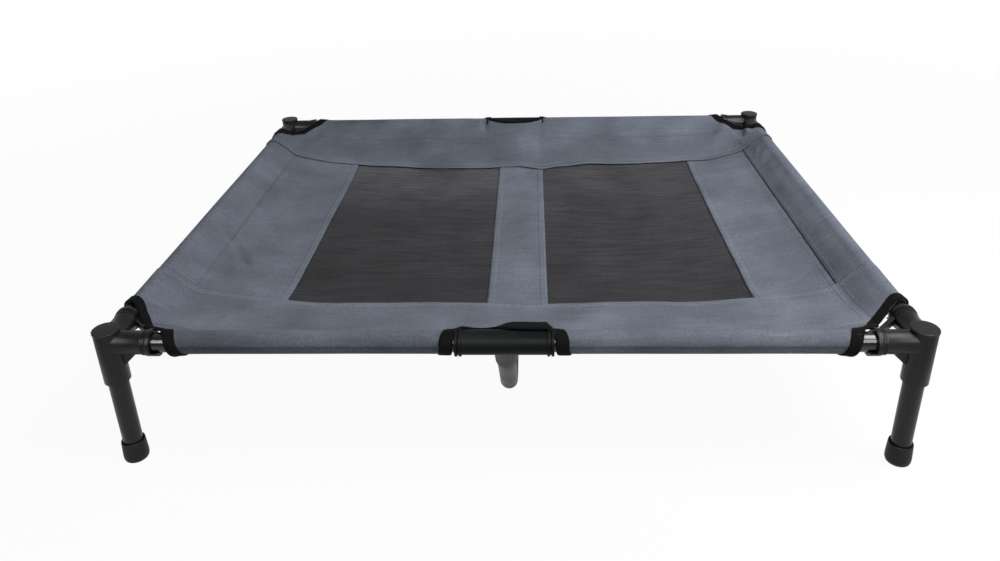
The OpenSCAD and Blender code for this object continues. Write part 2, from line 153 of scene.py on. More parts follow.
def moulded_finish(name, colour, rough, grain_depth, grain_size=0.0009, **constants):
    material, tree, shader = finish(name, **constants)
    skin = use_effect(tree, moulded_skin, grain_size=grain_size)
    shade = tint(tree, colour, remap(tree, skin["Patch"], *noise_span, 0.8, 1.25))
    dust_share = calc(tree, "MULTIPLY", skin["Dust"], most_dust)
    tree.links.new(mix_colours(tree, shade, dust_grey, dust_share), shader.inputs["Base Color"])
    tree.links.new(remap(tree, skin["Patch"], *noise_span, *rough), shader.inputs["Roughness"])
    bump(tree, shader, skin["Grain"], grain_depth)
    return material


fitting_finish = moulded_finish(
    "black moulding", fitting_black, rough=(0.32, 0.46), grain_depth=0.00004, specular_ior_level=0.22
)


def new_piece(name, bm, material, body="cot"):
    mesh = bpy.data.meshes.new(name)
    bm.to_mesh(mesh)
    bm.free()
    piece = bpy.data.objects.new(name, mesh)
    bpy.context.scene.collection.objects.link(piece)
    mesh.materials.append(material)
    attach(piece, body)
    return piece


def shade_round(bm, sharp_degrees):
    for face in bm.faces:
        face.smooth = True
    for edge in bm.edges:
        if len(edge.link_faces) == 2:
            edge.smooth = edge.calc_face_angle() < math.radians(sharp_degrees)


def round_edges(bm, edges, width, steps=2):
    bmesh.ops.bevel(
        bm, geom=edges, offset=width, offset_type="OFFSET", segments=steps, profile=0.5,
        affect="EDGES", clamp_overlap=True, material=-1,
    )


weld = 0.000002
flat_angle = math.radians(0.4)
corner_angle = math.radians(42)


def moulded_copy(node, name, edge_width, material, wide_rim=None, rim_width=0.0):
    bm = bmesh.new()
    bm.from_mesh(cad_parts[node].data)
    bmesh.ops.remove_doubles(bm, verts=bm.verts, dist=weld)
    bmesh.ops.dissolve_limit(bm, angle_limit=flat_angle, verts=bm.verts, edges=bm.edges)
    sharp = [e for e in bm.edges if len(e.link_faces) == 2 and e.calc_face_angle() > corner_angle]
    wide = [e for e in sharp if wide_rim and all(wide_rim(v.co) for v in e.verts)]
    round_edges(bm, [e for e in sharp if e not in wide], edge_width)
    wide = [e for e in wide if e.is_valid]
    if wide:
        round_edges(bm, wide, rim_width, 3)
    shade_round(bm, 32)
    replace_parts(new_piece(name, bm, material), node)


corners = ["front_left", "front_right", "rear_left", "rear_right"]
post_rim = 0.0024
post_bore = 0.0125
for corner_name in corners:
    leg_low, leg_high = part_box("leg_" + corner_name)
    post_axis = ((leg_low + leg_high) / 2).to_2d()
    rim_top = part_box("corner_joint_" + corner_name)[0].z + 0.0005

    def on_post_rim(point):
        return point.z < rim_top and (point.to_2d() - post_axis).length > post_bore

    moulded_copy(
        "corner_joint_" + corner_name, "fitting_" + corner_name, fitting_edge, fitting_finish,
        wide_rim=on_post_rim, rim_width=post_rim,
    )

# Rails: drawn steel tube under a gloss black powder coat, pushed into the fittings and couplers.
# The coat has a slight orange peel, and shows the lamps as white streaks along the tube.

tube_black = (0.0035, 0.0037, 0.0040, 1)
rail_finish = moulded_finish(
    "gloss black tube", tube_black, rough=(0.15, 0.20), grain_depth=0.000002, grain_size=0.0030,
    specular_ior_level=0.5,
)


def dress_node(node, material):
    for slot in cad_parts[node].material_slots:
        slot.material = material


rails = [
    "rail_front_left", "rail_front_right", "rail_rear_left", "rail_rear_right",
    "rail_side_left", "rail_side_right",
]
for rail_name in rails:
    dress_node(rail_name, rail_finish)

# Couplers: a black moulded sleeve with double rings at each end joins the two lengths of the front
# rail, and another those of the rear rail. A short socket under the middle takes the centre bar.

coupler_edge = 0.0006
coupler_black = (0.0046, 0.0056, 0.0060, 1)
coupler_finish = moulded_finish(
    "black coupler moulding", coupler_black, rough=(0.46, 0.56), grain_depth=0.00002,
    specular_ior_level=0.07,
)
for end in ("front", "rear"):
    moulded_copy("coupler_" + end, "sleeve_" + end, coupler_edge, coupler_finish)

# Centre support bar: one bent steel tube, coated like the rails, from coupler to coupler along the
# floor. Handling has dulled its coat a little more than theirs.

bar_black = (0.0108, 0.0110, 0.0116, 1)
bar_finish = moulded_finish(
    "dulled black tube", bar_black, rough=(0.32, 0.42), grain_depth=0.00001, grain_size=0.004,
    specular_ior_level=0.07,
)
dress_node("centre_support_bar", bar_finish)

# Legs and feet: a straight coated tube in each post, and a soft rubber cup pushed onto its end.
# The rubber is matt; the cup widens a little downwards and leaves a dark gap round the tube.

leg_black = (0.0070, 0.0074, 0.0078, 1)
leg_finish = moulded_finish(
    "satin black tube", leg_black, rough=(0.30, 0.42), grain_depth=0.00002, grain_size=0.0018,
    specular_ior_level=0.26,
)
rubber_black = (0.0070, 0.0074, 0.0074, 1)
rubber_finish = moulded_finish(
    "black rubber", rubber_black, rough=(0.52, 0.66), grain_depth=0.00008, grain_size=0.0012,
    specular_ior_level=0.2,
)

# Radius and height along the wall of a cup, from the middle of its sole to the middle of its floor
cup_profile = [
    (0.0, 0.0), (0.0094, 0.0), (0.0116, 0.0005), (0.0132, 0.0018), (0.0140, 0.0042), (0.0142, 0.0080),
    (0.0139, 0.0150), (0.0135, 0.0225), (0.0133, 0.0256), (0.0131, 0.0266), (0.0127, 0.0270),
    (0.0120, 0.0269), (0.0116, 0.0262), (0.0113, 0.0240), (0.0112, 0.0060), (0.0, 0.0055),
]


def rubber_cup(corner_name):
    foot_low, foot_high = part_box("foot_" + corner_name)
    axis_at = Vector(((foot_low.x + foot_high.x) / 2, (foot_low.y + foot_high.y) / 2, foot_low.z))
    bm = bmesh.new()
    ring = [bm.verts.new(axis_at + Vector((radius, 0, height))) for radius, height in cup_profile]
    edges = [bm.edges.new(pair) for pair in zip(ring, ring[1:])]
    bmesh.ops.spin(
        bm, geom=ring + edges, cent=axis_at, axis=(0, 0, 1), angle=math.tau, steps=48, use_merge=True
    )
    bmesh.ops.remove_doubles(bm, verts=bm.verts, dist=0.000005)
    bmesh.ops.recalc_face_normals(bm, faces=bm.faces)
    shade_round(bm, 50)
    cup = new_piece("cup_" + corner_name, bm, rubber_finish, "leg_" + corner_name)
    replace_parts(cup, "foot_" + corner_name)


for corner_name in corners:
    dress_node("leg_" + corner_name, leg_finish)
    rubber_cup(corner_name)

# Post caps: a flat moulded disc with a plug, pressed into the top of each post. Its rim is rounded
# and its face is smoother than the fitting's.

cap_edge = 0.0010
cap_black = (0.0090, 0.0092, 0.0094, 1)
cap_finish = moulded_finish(
    "black cap moulding", cap_black, rough=(0.38, 0.50), grain_depth=0.00003, specular_ior_level=0.18
)
for corner_name in corners:
    moulded_copy("post_cap_" + corner_name, "cap_" + corner_name, cap_edge, cap_finish)

# The mat's form: a cloth hung between the four rails, which sags in the middle and turns up into a
# pocket over each rail. A place on it is given on the flat cloth, by u to the right and v to the
# rear, so that bands, pockets, tapes and stitches all follow the same surface.

side_low, side_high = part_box("rail_side_right")
end_low, end_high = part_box("rail_rear_right")
half_x = (side_low.x + side_high.x) / 2
half_y = (end_low.y + end_high.y) / 2
rail_z = (side_low.z + side_high.z) / 2
tube_r = (side_high.x - side_low.x) / 2
coupler_low, coupler_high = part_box("coupler_front")
coupler_x = (coupler_low.x + coupler_high.x) / 2

# The hem lies in from each rail's axis and below it. The mat sags from there, and it is held up a
# little behind the couplers and at the corners.
hem_in = 0.037
hem_drop = 0.0185
hem_x = half_x - hem_in
hem_y = half_y - hem_in
hem_z = rail_z - hem_drop
sag = 0.030
edge_lift = 0.006
edge_lift_wide = 0.028
edge_lift_deep = 0.030
corner_lift = 0.0135
corner_lift_reach = 0.036
hem_round = 0.014

# A pocket in section: straight from the hem to the tube, round it, and straight back to the hem
pocket_r = tube_r + 0.0013
pocket_slack = 0.0022
seam_reach = math.hypot(hem_in, hem_drop)
lean = math.atan2(hem_drop, hem_in)
mouth_angle = math.acos(pocket_r / seam_reach)
upper_angle = mouth_angle - lean
lower_angle = -mouth_angle - lean
crown_len = pocket_r * (math.pi / 2 - upper_angle)
slope_len = math.sqrt(seam_reach ** 2 - pocket_r ** 2)
wrap_len = pocket_r * (1.5 * math.pi + lower_angle)
hem_len = crown_len + slope_len


def bell(distance):
    return math.exp(-distance * distance / 2)


def ease_in(share):
    share = min(1.0, max(0.0, share))
    return share * share * (3 - 2 * share)


def mat_height(x, y):
    dish = (1 - (x / hem_x) ** 4) * (1 - (y / hem_y) ** 4)
    near_ends = bell((y + hem_y) / edge_lift_deep) + bell((y - hem_y) / edge_lift_deep)
    at_coupler = edge_lift * bell((x - coupler_x) / edge_lift_wide) * near_ends
    corner_gap = math.hypot(hem_x - abs(x), hem_y - abs(y))
    return hem_z - sag * dish + at_coupler + corner_lift * bell(corner_gap / corner_lift_reach)


# Creases and soft folds, each as a line on the flat cloth with its height and half width
creases = [
    (-0.408, -0.076, -0.366, -0.132, -0.0020, 0.0035),
    (-0.404, -0.086, -0.380, -0.142, 0.0016, 0.0045),
    (-0.408, -0.076, -0.436, -0.040, -0.0015, 0.004),
    (-0.396, 0.308, -0.401, 0.268, -0.0013, 0.004),
    (0.426, 0.340, 0.417, 0.296, -0.0034, 0.005),
    (0.440, 0.338, 0.432, 0.296, 0.0022, 0.006),
    (0.385, 0.366, 0.370, 0.330, -0.0030, 0.005),
    (0.398, 0.352, 0.386, 0.322, 0.0018, 0.007),
    (0.398, 0.318, 0.412, 0.276, 0.0015, 0.005),
    (0.434, 0.233, 0.419, 0.227, -0.0020, 0.004),
    (0.434, 0.222, 0.420, 0.212, 0.0014, 0.004),
    (0.434, 0.213, 0.419, 0.196, -0.0020, 0.004),
    (0.434, 0.166, 0.415, 0.155, -0.0016, 0.005),
    (0.436, 0.090, 0.410, 0.060, -0.0014, 0.006),
    (0.436, 0.020, 0.404, -0.020, 0.0012, 0.007),
    (-0.436, 0.140, -0.396, 0.110, 0.0012, 0.007),
    (-0.430, 0.060, -0.392, 0.030, -0.0012, 0.006),
    (-0.372, -0.155, -0.330, -0.205, 0.0011, 0.010),
    (-0.428, 0.310, -0.420, 0.335, -0.0035, 0.006),
    (-0.376, 0.340, -0.384, 0.312, -0.0019, 0.006),
    (-0.072, 0.376, -0.068, 0.350, 0.0022, 0.003),
    (-0.068, 0.350, -0.086, 0.336, 0.0014, 0.006),
    (-0.072, 0.376, -0.058, 0.350, -0.0016, 0.006),
    (0.303, -0.216, 0.314, -0.244, -0.0016, 0.006),
    (-0.342, -0.301, -0.341, -0.279, 0.0013, 0.005),
    (0.100, 0.318, 0.136, 0.262, 0.0016, 0.010),
    (-0.300, -0.225, -0.390, -0.312, 0.0016, 0.016),
    (0.312, -0.225, 0.395, -0.312, 0.0019, 0.016),
    (-0.300, 0.250, -0.392, 0.318, 0.0014, 0.016),
    (0.315, 0.250, 0.388, 0.312, 0.0016, 0.016),
    (-0.060, -0.322, -0.120, -0.262, 0.0019, 0.014),
    (0.058, -0.322, 0.112, -0.258, 0.0019, 0.014),
    (0.018, -0.330, 0.034, -0.318, 0.0045, 0.016),
    (-0.040, -0.330, -0.020, -0.322, -0.0035, 0.014),
]


# Painted light and shade on the folds: the tone is raised on the top of a fold and lowered in its valley
painted_crease_shading = 65


def from_line(u, v, u1, v1, u2, v2):
    along = ((u - u1) * (u2 - u1) + (v - v1) * (v2 - v1)) / ((u2 - u1) ** 2 + (v2 - v1) ** 2)
    along = min(1.0, max(0.0, along))
    return math.hypot(u - u1 - along * (u2 - u1), v - v1 - along * (v2 - v1))


def crease_height(u, v):
    height = 0.0
    for u1, v1, u2, v2, rise, width in creases:
        reach = 3 * width
        near_u = min(u1, u2) - reach < u < max(u1, u2) + reach
        if near_u and min(v1, v2) - reach < v < max(v1, v2) + reach:
            height += rise * bell(from_line(u, v, u1, v1, u2, v2) / width)
    return height


# Ripples of slack cloth: how many to the metre, how high, and their layer of the noise. They are
# full inside the mat, lower at the hem and lowest on the rail, where the cloth is drawn tight.
ripples = [(8, 0.0030, 0.3), (19, 0.0011, 2.7), (48, 0.00032, 4.1)]
hem_slack = 0.30
rail_slack = 0.08
slack_reach = 0.06
deepest_on_rail = 0.0008
deepest_slope = 0.2


def relief(u, v):
    inside = min(hem_x - abs(u), hem_y - abs(v))
    if inside > 0:
        slack = hem_slack + (1 - hem_slack) * ease_in(inside / slack_reach)
    else:
        slack = rail_slack + (hem_slack - rail_slack) * ease_in((slope_len + inside) / slope_len)
    waves = sum(rise * noise.noise(Vector((u * count, v * count, layer))) for count, rise, layer in ripples)
    from_rail = max(0.0, slope_len + inside)
    return max(slack * waves + crease_height(u, v), -deepest_on_rail - deepest_slope * from_rail)


# The cloth across a rail, by s, the length from the crown towards the mat: a slope to the hem, the
# turn round the tube and the tail sewn back under the hem. Gives the place and the way it faces.
tail_gap = 0.0015


def rail_profile(s, rise):
    if s > crown_len:
        share = (s - crown_len) / slope_len
        top = pocket_r * math.sin(upper_angle)
        across = pocket_r * math.cos(upper_angle) * (1 - share) + hem_in * share
        slack_rise = pocket_slack * 16 * share * share * (1 - share) ** 2
        return across, top * (1 - share) + (rise - hem_drop) * share + slack_rise, upper_angle
    if s > -wrap_len:
        angle = math.pi / 2 - s / pocket_r
        return pocket_r * math.cos(angle), pocket_r * math.sin(angle), angle
    share = min(1.0, (-wrap_len - s) / slope_len)
    under = pocket_r * math.sin(lower_angle)
    across = pocket_r * math.cos(lower_angle) * (1 - share) + hem_in * share
    return across, under * (1 - share) + (rise - hem_drop - tail_gap) * share, lower_angle


# The cloth turns from the mat to the slope in a soft bend: half the change of slope on each side
slope_step = 0.01


def soft_bend(over, on_hem, inside):
    crown_in = pocket_r * math.cos(upper_angle)
    from_hem = over * (hem_in - crown_in) / slope_len if over > 0 else -over
    if from_hem >= hem_round:
        return 0.0
    hem_at = mat_height(*on_hem)
    up_slope = (rail_z + pocket_r * math.sin(upper_angle) - hem_at) / (hem_in - crown_in)
    in_slope = (hem_at - mat_height(*inside)) / slope_step
    return max(0.0, up_slope - in_slope) * hem_round / 4 * (1 - from_hem / hem_round) ** 2


# Two slopes meet at a corner in a rounded valley
def joined(rise_u, rise_v):
    if rise_u < 1e-7 or rise_v < 1e-7:
        return rise_u if abs(rise_u) > abs(rise_v) else rise_v
    return (rise_u ** 4 + rise_v ** 4) ** 0.25


def mat_point(u, v, lift=0.0):
    right = math.copysign(1, u)
    rear = math.copysign(1, v)
    x_on = right * min(abs(u), hem_x)
    y_on = rear * min(abs(v), hem_y)
    base = mat_height(x_on, y_on)
    lift += relief(u, v)
    edges = (
        (abs(u) - hem_x, half_x, (right * hem_x, y_on), (right * (hem_x - slope_step), y_on)),
        (abs(v) - hem_y, half_y, (x_on, rear * hem_y), (x_on, rear * (hem_y - slope_step))),
    )
    outs = []
    rises = []
    upright = 1.0
    for over, half, on_hem, inside in edges:
        across = hem_in - over
        facing = upper_angle
        rise = soft_bend(over, on_hem, inside)
        if over > 0:
            across, up, facing = rail_profile(hem_len - over, base - hem_z)
            rise += rail_z + up - base
        turned = min(1.0, max(0.0, (over + hem_round) / (2 * hem_round)))
        facing = math.pi / 2 + (facing - math.pi / 2) * turned
        outs.append(half - across - lift * math.cos(facing))
        rises.append(rise)
        upright *= math.sin(facing)
    return Vector((right * outs[0], rear * outs[1], base + joined(*rises) + lift * upright))


def spread(start, end, step, marks=()):
    count = max(1, round(abs(end - start) / step))
    evenly = [start + (end - start) * k / count for k in range(count + 1)]
    clear = [x for x in evenly[1:-1] if all(abs(x - mark) > step * 0.3 for mark in marks)]
    return sorted([evenly[0], evenly[-1]] + clear + list(marks))


# A grid of cloth: form(i, j) gives a point's place, its place on the flat cloth, and its tone
def woven_grid(columns, rows, form):
    bm = bmesh.new()
    bmesh.ops.create_grid(bm, x_segments=columns - 1, y_segments=rows - 1, size=1)
    tone_layer = bm.verts.layers.float.new("tone")
    flat_layer = bm.loops.layers.uv.new("cloth")
    flat = {}
    for vert in bm.verts:
        i = round((vert.co.x + 1) / 2 * (columns - 1))
        j = round((vert.co.y + 1) / 2 * (rows - 1))
        vert.co, flat[vert], vert[tone_layer] = form(i, j)
    for face in bm.faces:
        face.smooth = True
        for loop in face.loops:
            loop[flat_layer].uv = flat[loop.vert]
    return bm, flat_layer


def thicken(piece, thickness, offset):
    wall = piece.modifiers.new("cloth thickness", "SOLIDIFY")
    wall.thickness = thickness
    wall.offset = offset


def cloth_sheet(name, columns, rows, cut, thickness, material):
    def form(i, j):
        u, v, lift, tone = cut(columns[i], rows[j])
        # The folds get painted light on top and painted shade in their valleys
        return mat_point(u, v, lift), (u, v), tone * (1 + painted_crease_shading * crease_height(u, v))

    bm, flat_layer = woven_grid(len(columns), len(rows), form)
    bmesh.ops.remove_doubles(bm, verts=bm.verts, dist=weld)
    bm.normal_update()
    bm.faces.ensure_lookup_table()
    middle = bm.faces[len(bm.faces) // 2]
    u, v = middle.loops[0][flat_layer].uv
    if middle.normal.dot(mat_point(u, v, 0.001) - mat_point(u, v)) < 0:
        bmesh.ops.reverse_faces(bm, faces=bm.faces)
    cut_area = sum(face.calc_area() for face in bm.faces)
    piece = new_piece(name, bm, material)
    thicken(piece, thickness, -1)
    return piece, cut_area


# Weave: threads over and under in two directions, seen as height, as thread tone and as open holes
weave, weave_in, weave_out = effect("weave", {"Pitch": 0.0009}, ["Height", "Thread", "Hole"])
weave_uv = place(weave, "ShaderNodeUVMap", uv_map="cloth").outputs["UV"]
weave_axes = place(weave, "ShaderNodeSeparateXYZ", {"Vector": weave_uv}).outputs
warp_count = calc(weave, "DIVIDE", weave_axes["X"], weave_in["Pitch"])
weft_count = calc(weave, "DIVIDE", weave_axes["Y"], weave_in["Pitch"])
warp_wave = calc(weave, "ABSOLUTE", calc(weave, "SINE", calc(weave, "MULTIPLY", warp_count, math.pi)))
weft_wave = calc(weave, "ABSOLUTE", calc(weave, "SINE", calc(weave, "MULTIPLY", weft_count, math.pi)))
warp_index = calc(weave, "FLOOR", warp_count)
weft_index = calc(weave, "FLOOR", weft_count)
over_under = calc(weave, "FLOORED_MODULO", calc(weave, "ADD", warp_index, weft_index), 2.0)
warp_part = calc(weave, "MULTIPLY", warp_wave, over_under)
weft_part = calc(weave, "MULTIPLY", weft_wave, calc(weave, "SUBTRACT", 1.0, over_under))
weave.links.new(calc(weave, "ADD", warp_part, weft_part), weave_out["Height"])
thread_cell = place(weave, "ShaderNodeCombineXYZ", {"X": warp_index, "Y": weft_index}).outputs["Vector"]
thread_tone = place(weave, "ShaderNodeTexWhiteNoise", {"Vector": thread_cell}, noise_dimensions="2D")
weave.links.new(thread_tone.outputs["Value"], weave_out["Thread"])
crossing = calc(weave, "MAXIMUM", warp_wave, weft_wave)
weave.links.new(remap(weave, crossing, 0.55, 0.2, 0.0, 1.0), weave_out["Hole"])

# Handling: cloudy tone, streaks along the cloth, uneven yarn, pale scuffs and lint
lint_white = (0.32, 0.32, 0.33, 1)
most_lint = 0.3
handling, handling_in, handling_out = effect(
    "handling", {"Cloud size": 0.09}, ["Cloud", "Streak", "Slub", "Scuff", "Lint"]
)
handling_place = place(handling, "ShaderNodeTexCoord").outputs["Object"]
cloud_scale = calc(handling, "DIVIDE", 1.0, handling_in["Cloud size"])
streak_sockets = {"Vector": handling_place, "Scale": (18.0, 250.0, 60.0)}
streak_place = place(handling, "ShaderNodeMapping", streak_sockets).outputs["Vector"]
scuff_sockets = {"Vector": handling_place, "Rotation": (0.0, 0.0, 0.9), "Scale": (11.0, 130.0, 40.0)}
scuff_place = place(handling, "ShaderNodeMapping", scuff_sockets).outputs["Vector"]
scuff = speckle(handling, scuff_place, 1.0, 2.0)
lint = speckle(handling, handling_place, 300.0, 2.0)
put_out(handling, handling_out, {
    "Cloud": speckle(handling, handling_place, cloud_scale, 5.0),
    "Streak": speckle(handling, streak_place, 1.0, 3.0),
    "Slub": speckle(handling, handling_place, 420.0, 2.0),
    "Scuff": remap(handling, scuff, 0.66, 0.78, 0.0, 1.0),
    "Lint": remap(handling, lint, 0.70, 0.82, 0.0, 1.0),
})


def cloth_finish(name, colour, pitch, weave_depth, hole_painted_shade, mottle, streaks, rough, **constants):
    material, tree, shader = finish(name, **constants)
    threads = use_effect(tree, weave, pitch=pitch)
    wear_and_sheen = use_effect(tree, handling, cloud_size=0.07)
    tone = place(tree, "ShaderNodeAttribute", attribute_name="tone").outputs["Fac"]
    for part in (
        remap(tree, wear_and_sheen["Cloud"], *noise_span, 1 - mottle, 1 + mottle),
        remap(tree, wear_and_sheen["Streak"], *noise_span, 1 - streaks, 1 + streaks),
        remap(tree, wear_and_sheen["Slub"], *noise_span, 0.91, 1.09),
        remap(tree, wear_and_sheen["Scuff"], 0.0, 1.0, 1.0, 1.22),
        remap(tree, threads["Thread"], 0.0, 1.0, 0.86, 1.14),
        # Painted shade in the holes between the threads
        remap(tree, threads["Hole"], 0.0, 1.0, 1.0, hole_painted_shade),
    ):
        tone = calc(tree, "MULTIPLY", tone, part)
    lint_share = calc(tree, "MULTIPLY", wear_and_sheen["Lint"], most_lint)
    linty = mix_colours(tree, tint(tree, colour, tone), lint_white, lint_share)
    tree.links.new(linty, shader.inputs["Base Color"])
    tree.links.new(remap(tree, wear_and_sheen["Cloud"], *noise_span, *rough), shader.inputs["Roughness"])
    bump(tree, shader, threads["Height"], weave_depth)
    return material


# Mesh panels: a dark open weave of coated yarn, sewn under the edges of both windows. It is let
# into the mat under the canvas, so its own edges don't show.

canvas_ply = 0.0009
window_front = -0.217
window_rear = 0.240
window_left_x = (-0.2885, -0.0305)
window_right_x = (0.0475, 0.3055)
mesh_lap = 0.012
mesh_rear_lap = 0.028
mesh_step = 0.005
mesh_ply = 0.0008
mesh_sink = 0.0010
mesh_black = (0.0335, 0.0335, 0.0365, 1)
mesh_finish = cloth_finish(
    "dark mesh", mesh_black, pitch=0.0019, weave_depth=0.00025, hole_painted_shade=0.35, mottle=0.24,
    streaks=0.32, rough=(0.44, 0.56), specular_ior_level=0.08, sheen_weight=0.03,
)


def declare_sheet(piece, node):
    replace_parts(piece, node)


# Painted sheen: the yarn's tone is raised towards the rear, most of all on the left, where grazing light
# shines on it: how much, from where, how fast
mesh_painted_sheen = [(0.22, -0.18, 0.20), (0.52, 0.02, 0.18)]
left_mesh_painted_sheen = mesh_painted_sheen + [(0.85, 0.06, 0.14)]
mesh_tone = 0.92
left_mesh_tone = 0.80


def mesh_cut(u, v):
    tone, wear_and_sheen = (left_mesh_tone, left_mesh_painted_sheen) if u < 0 else (mesh_tone, mesh_painted_sheen)
    # Painted sheen: the tone rises towards the rear
    return u, v, -mesh_sink, tone + sum(most * ease_in((v - start) / reach) for most, start, reach in wear_and_sheen)


mesh_rows = spread(window_front - mesh_lap, window_rear + mesh_rear_lap, mesh_step)
for side, (left_edge, right_edge) in (("left", window_left_x), ("right", window_right_x)):
    mesh_columns = spread(left_edge - mesh_lap, right_edge + mesh_lap, mesh_step)
    panel, panel_area = cloth_sheet(
        "mesh_" + side, mesh_columns, mesh_rows, mesh_cut, mesh_ply, mesh_finish
    )
    declare_sheet(
        panel,
        "mesh_panel_" + side,
    )

# Side bands and centre strip: slate canvas, a coarse coated polyester weave, between the front and
# the rear band. Each long edge beside a window is turned under and shows as a paler raised fold.

canvas_slate = (0.136, 0.152, 0.188, 1)
canvas_finish = cloth_finish(
    "slate canvas", canvas_slate, pitch=0.0011, weave_depth=0.00022, hole_painted_shade=0.70, mottle=0.21,
    streaks=0.07, rough=(0.64, 0.80), specular_ior_level=0.06, sheen_weight=0.03, sheen_roughness=0.4,
)
fold_wide = 0.009
fold_lift = 0.0004
fold_tone = 1.07
under_lap = 0.010
under_rear_lap = 0.028
hem_lap = 0.009
canvas_step = 0.0036

# The outer edge of a side band dives under the pocket, from just inside the hem
dive_depth = 0.0005
dive_start = 0.003
dive_reach = 0.004
hem_marks = [side * (hem_x + k * 0.0015) for side in (-1, 1) for k in (-2, -1, 0, 1, 2, 4)]


def side_cut(folds):
    def cut(u, v):
        on_fold = any(min(edge, turn) <= u <= max(edge, turn) for edge, turn in folds)
        dive = dive_depth * ease_in((abs(u) - hem_x + dive_start) / dive_reach)
        return u, v, fold_lift * on_fold - dive, 1 + (fold_tone - 1) * on_fold
    return cut


side_rows = spread(window_front - under_lap, window_rear + under_rear_lap, canvas_step)
strip_left = window_left_x[1]
strip_right = window_right_x[0]
band_left = window_left_x[0]
band_right = window_right_x[1]
strips = [
    ("side_band_left", -hem_x - hem_lap, band_left, [(band_left, band_left - fold_wide)]),
    ("side_band_right", band_right, hem_x + hem_lap, [(band_right, band_right + fold_wide)]),
    ("centre_strip", strip_left, strip_right,
     [(strip_left, strip_left + fold_wide), (strip_right, strip_right - fold_wide)]),
]
for node, left_edge, right_edge, folds in strips:
    turns = [turn + step for edge, turn in folds for step in (-0.0003, 0.0003)]
    turns = [x for x in turns + hem_marks if left_edge < x < right_edge]
    strip_columns = spread(left_edge, right_edge, canvas_step, turns)
    strip, strip_area = cloth_sheet(
        node + "_cloth", strip_columns, side_rows, side_cut(folds), canvas_ply, canvas_finish
    )
    declare_sheet(strip, node)

# Front and rear bands: the same canvas across the whole mat, laid over the ends of the other pieces
# and carried on over both side rails. The front one is sewn flat, the rear one ends in a loose lip.

corner_cut_at = {-1: 0.064, 1: 0.0595}
corner_rake = 0.36
rake_len = 0.040
wing_len = hem_len + 0.020

# The loose lip of the rear band on the flat cloth, from left to right
lip_line = [
    (-0.50, 0.251), (-0.407, 0.252), (-0.330, 0.246), (-0.230, 0.244), (-0.130, 0.240), (-0.060, 0.238),
    (0.0, 0.243), (0.045, 0.232), (0.080, 0.243), (0.125, 0.250), (0.200, 0.244), (0.290, 0.247),
    (0.340, 0.243), (0.407, 0.251), (0.50, 0.253),
]


def along_line(line, x):
    for (x1, y1), (x2, y2) in zip(line, line[1:]):
        if x <= x2:
            return y1 + (y2 - y1) * ease_in((x - x1) / (x2 - x1))
    return line[-1][1]


def lip_at(u):
    return along_line(lip_line, u)


# Where a corner's two cut edges meet on the flat cloth, in from the side rail and from the end rail.
# A corner is named by its end, front -1 or rear 1, and its side, left -1 or right 1.
mitre_in = {
    (-1, -1): (0.0245, 0.0245), (-1, 1): (0.0335, 0.0310),
    (1, -1): (0.0231, 0.0328), (1, 1): (0.0231, 0.0328),
}
slack_len = hem_len - hem_in
front_bow = 0.9


# The front cuts bow out towards the corner behind the end rail; the others run straight
def corner_cut(s, rear, stop, stop_s, bow):
    cut_at = corner_cut_at[rear]
    if s > 0:
        share = min(1.0, s / stop_s)
        share += bow * share * (1 - share)
        return cut_at - (cut_at - stop) * share
    return cut_at + corner_rake * min(-s, rake_len)


def end_cut(s, rear, right):
    mitre_x, mitre_y = mitre_in[rear, right]
    bow = front_bow if rear < 0 else 0.0
    return half_x - corner_cut(s, rear, mitre_x, slack_len + mitre_y, bow)


def side_end_cut(s, rear, right):
    mitre_x, mitre_y = mitre_in[rear, right]
    return half_y - corner_cut(s, rear, mitre_y, slack_len + mitre_x, 0.0)


# Free edge behind the front coupler, -1, and the rear one, 1: how far back from the rail's crown it
# lies, by distance from the coupler's middle
flap_half = 0.0568
flap_edge = {
    -1: [
        (-0.0568, -0.012), (-0.0533, -0.002), (-0.048, 0.0035), (-0.042, 0.0060), (-0.030, 0.0130),
        (-0.016, 0.0130), (-0.002, 0.0060), (0.008, 0.0020), (0.038, 0.0015), (0.048, 0.0010),
        (0.0533, -0.003), (0.0568, -0.012),
    ],
    1: [
        (-0.0568, -0.012), (-0.0533, -0.003), (-0.048, 0.0030), (-0.038, 0.0070), (-0.020, 0.0115),
        (0.0, 0.0130), (0.020, 0.0115), (0.038, 0.0070), (0.048, 0.0030), (0.0533, -0.003),
        (0.0568, -0.012),
    ],
}


# The flap stands clear of the coupler, most of all over the end rings, and droops at its edge. The
# front one has a hump to the right of the middle and a dip to the left.
flap_deep = 0.042
flap_lift = 0.0034
ring_lift = 0.0007
hump_lift = 0.0042
dip_depth = 0.0020
flap_droop = 0.32


def flap_rise(u, v):
    aside = u - coupler_x
    back = hem_len - (abs(v) - hem_y)
    if abs(aside) > flap_half or back > flap_deep:
        return 0.0
    over_sleeve = ease_in((flap_half - abs(aside)) / 0.012)
    over_rings = bell((abs(aside) - 0.050) / 0.005)
    rise = (flap_lift + ring_lift * over_rings) * (1 - ease_in((back - 0.010) / 0.030))
    if v < 0:
        on_hump = ease_in((aside + 0.012) / 0.018) * ease_in((0.056 - aside) / 0.010)
        hump_side = 1 - ease_in((back - 0.012) / 0.018) - 0.8 * ease_in((0.013 - back) / 0.008)
        rise += hump_lift * on_hump * hump_side - dip_depth * bell((aside + 0.024) / 0.012)
    droop = flap_droop * ease_in((0.012 - back) / 0.007)
    return rise * (1 - droop) * over_sleeve


# The rear band laps over the edge of its pockets, so that no line shows there; the front one meets it
rear_lap = 0.003
rear_sink = 0.0005
lap_stops = 0.012
lap_ramp = 0.020


